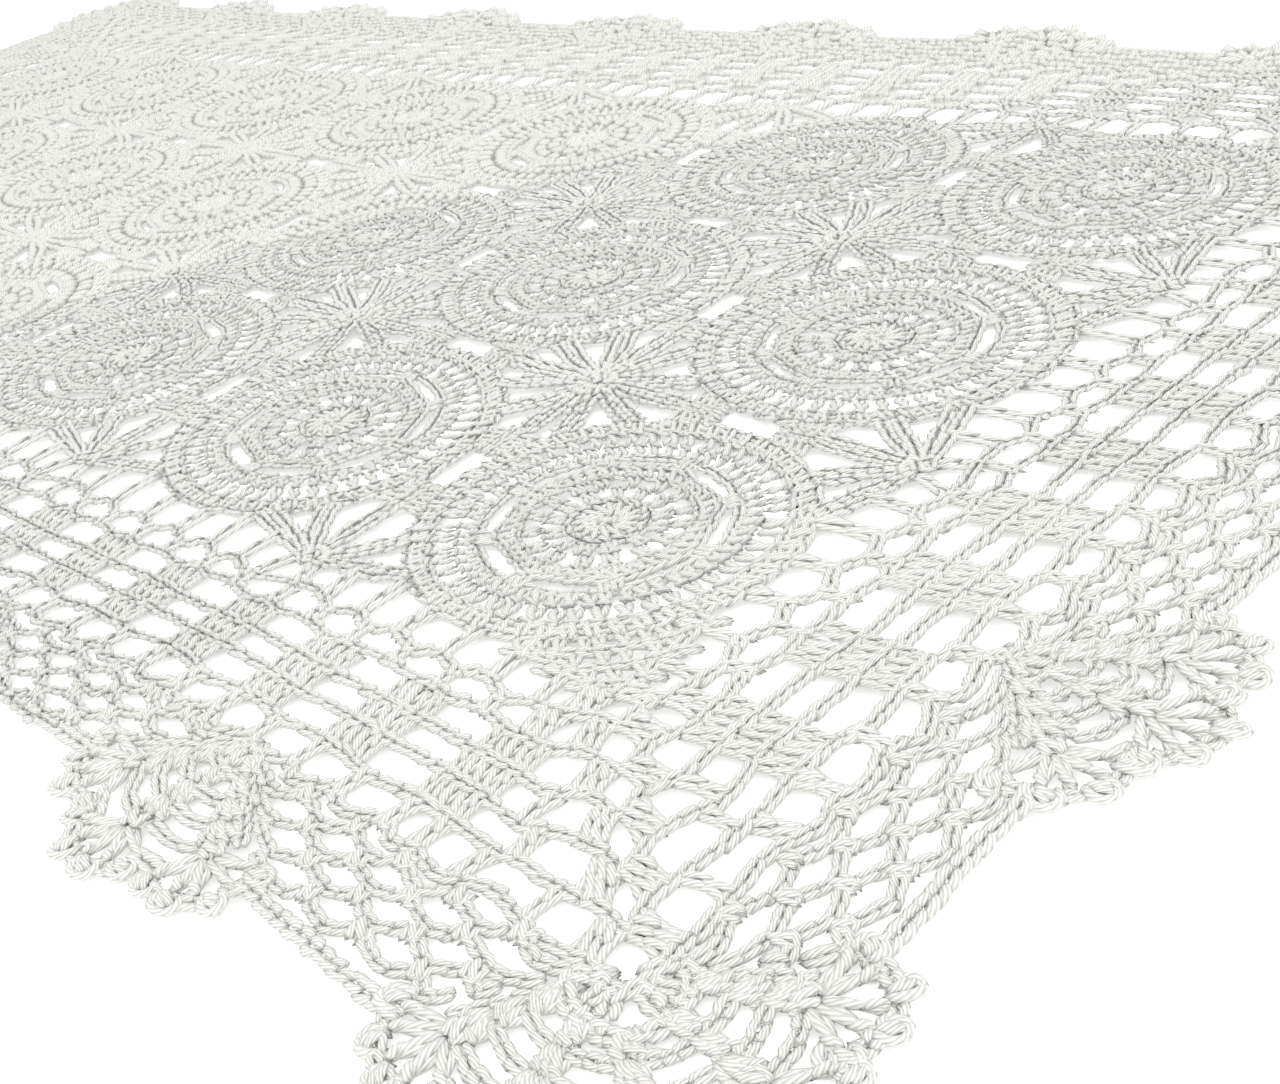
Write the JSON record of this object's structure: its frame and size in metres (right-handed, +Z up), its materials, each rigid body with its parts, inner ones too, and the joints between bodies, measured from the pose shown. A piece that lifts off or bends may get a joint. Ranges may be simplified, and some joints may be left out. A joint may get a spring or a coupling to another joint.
{
  "type": "crochet table runner",
  "caption": "Openwork cotton table runner of round lace medallions with star fillers, a net and block border and a scalloped fan edge, lying flat.",
  "frame": {"origin": "middle of the runner's outline, on the surface that it lies on", "axes": "+Y along the runner, +X across it, +Z up out of the table"},
  "size_m": [0.3978, 0.754, 0.0024],
  "materials": {
    "cotton": "matt white mercerised cotton yarn, crocheted"
  },
  "bodies": {
    "root": {"border": "cotton", "medallion_0_0": "cotton", "medallion_0_1": "cotton", "medallion_0_2": "cotton", "medallion_1_0": "cotton", "medallion_1_1": "cotton", "medallion_1_2": "cotton", "medallion_2_0": "cotton", "medallion_2_1": "cotton", "medallion_2_2": "cotton", "medallion_3_0": "cotton", "medallion_3_1": "cotton", "medallion_3_2": "cotton", "medallion_4_0": "cotton", "medallion_4_1": "cotton", "medallion_4_2": "cotton", "medallion_5_0": "cotton", "medallion_5_1": "cotton", "medallion_5_2": "cotton", "medallion_6_0": "cotton", "medallion_6_1": "cotton", "medallion_6_2": "cotton", "star_0_0": "cotton", "star_0_1": "cotton", "star_1_0": "cotton", "star_1_1": "cotton", "star_2_0": "cotton", "star_2_1": "cotton", "star_3_0": "cotton", "star_3_1": "cotton", "star_4_0": "cotton", "star_4_1": "cotton", "star_5_0": "cotton", "star_5_1": "cotton"}
  },
  "joints": []
}
